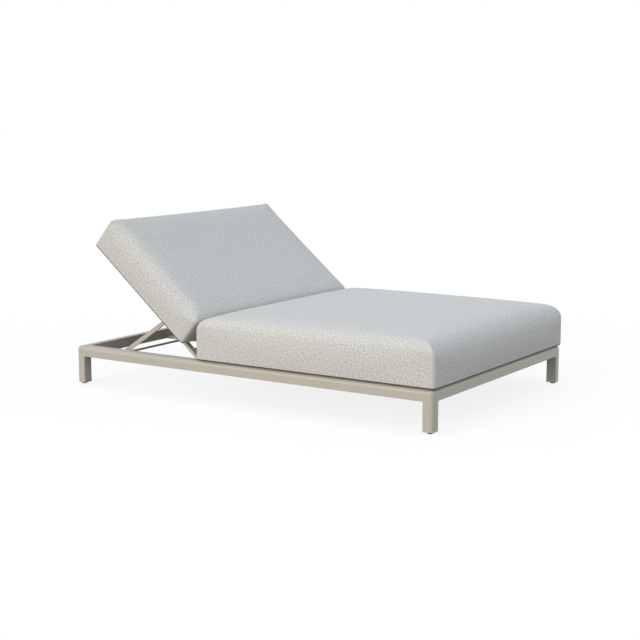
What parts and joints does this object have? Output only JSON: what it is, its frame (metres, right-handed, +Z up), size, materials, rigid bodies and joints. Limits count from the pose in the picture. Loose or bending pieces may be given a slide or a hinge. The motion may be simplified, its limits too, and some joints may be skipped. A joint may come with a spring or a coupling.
{
  "type": "double chaise lounger",
  "caption": "Low wide outdoor lounger: tube frame on short legs, slatted seat deck, reclining slatted backrest on a prop, thick loose seat and back cushions.",
  "frame": {"origin": "on the floor under the middle of the whole lounger's box, at the bottom of the glides", "axes": "+Z up, +Y along the lounger from its foot end to its head end, +X across it to the right of someone who stands at the foot end"},
  "size_m": [1.35, 2.055, 0.8284],
  "materials": {
    "frame_powder_coat": "satin",
    "slat_aluminium": "satin",
    "glide_plastic": "matte",
    "bush_plastic": "satin",
    "fastener_steel": "satin",
    "cushion_fabric": "matte"
  },
  "bodies": {
    "base": {"leg_foot_left": "frame_powder_coat", "leg_foot_right": "frame_powder_coat", "leg_head_left": "frame_powder_coat", "leg_head_right": "frame_powder_coat", "foot_glide_foot_left": "glide_plastic", "foot_glide_foot_right": "glide_plastic", "foot_glide_head_left": "glide_plastic", "foot_glide_head_right": "glide_plastic", "side_rail_left": "frame_powder_coat", "side_rail_right": "frame_powder_coat", "foot_rail": "frame_powder_coat", "head_rail": "frame_powder_coat", "hinge_rail": "frame_powder_coat", "seat_center_beam": "frame_powder_coat", "head_center_bar": "frame_powder_coat", "seat_ledge_left": "frame_powder_coat", "seat_ledge_right": "frame_powder_coat", "seat_slat_1": "slat_aluminium", "seat_slat_2": "slat_aluminium", "seat_slat_3": "slat_aluminium", "seat_slat_4": "slat_aluminium", "seat_slat_5": "slat_aluminium", "seat_slat_6": "slat_aluminium", "seat_slat_7": "slat_aluminium", "seat_slat_8": "slat_aluminium", "seat_slat_screws": "fastener_steel", "hinge_plate_left": "frame_powder_coat", "hinge_plate_right": "frame_powder_coat", "hinge_pin_left": "fastener_steel", "hinge_pin_right": "fastener_steel", "hinge_nuts": "fastener_steel", "prop_rack_left": "frame_powder_coat", "prop_rack_right": "frame_powder_coat", "back_stop_left": "frame_powder_coat", "back_stop_right": "frame_powder_coat", "seat_cushion": "cushion_fabric"},
    "backrest": {"back_side_tube_left": "frame_powder_coat", "back_side_tube_right": "frame_powder_coat", "back_cross_tube_lower": "frame_powder_coat", "back_cross_tube_middle": "frame_powder_coat", "back_cross_tube_upper": "frame_powder_coat", "back_stile_lower": "frame_powder_coat", "back_stile_upper": "frame_powder_coat", "back_slat_1": "slat_aluminium", "back_slat_2": "slat_aluminium", "back_slat_3": "slat_aluminium", "back_slat_4": "slat_aluminium", "back_slat_5": "slat_aluminium", "back_slat_6": "slat_aluminium", "back_slat_screws": "fastener_steel", "hinge_bush_left": "bush_plastic", "hinge_bush_right": "bush_plastic", "prop_bracket_left": "frame_powder_coat", "prop_bracket_right": "frame_powder_coat", "prop_pin_left": "fastener_steel", "prop_pin_right": "fastener_steel"},
    "prop": {"prop_arm_left": "frame_powder_coat", "prop_arm_right": "frame_powder_coat", "prop_bar": "frame_powder_coat"},
    "back_pad": {"back_cushion": "cushion_fabric"}
  },
  "joints": [
    {"name": "backrest_recline", "type": "hinge", "parent": "base", "child": "backrest", "pos_m": [0, 0.2825, 0.178], "axis": [1, 0, 0], "range_deg": [-40, 15]},
    {"name": "prop_swing", "type": "hinge", "parent": "backrest", "child": "prop", "pos_m": [0, 0.5226, 0.35075], "axis": [1, 0, 0], "range_deg": [-28.1, 74.9]},
    {"name": "back_cushion_shift", "type": "slide", "parent": "backrest", "child": "back_pad", "axis": [0, 0.766, 0.6428], "range_m": [-0.114, 0.043]}
  ],
  "couplings": [
    {"joint": "prop_swing", "follows": "backrest_recline", "ratio": -1.87},
    {"joint": "back_cushion_shift", "follows": "backrest_recline", "m_per_rad": 0.163}
  ]
}
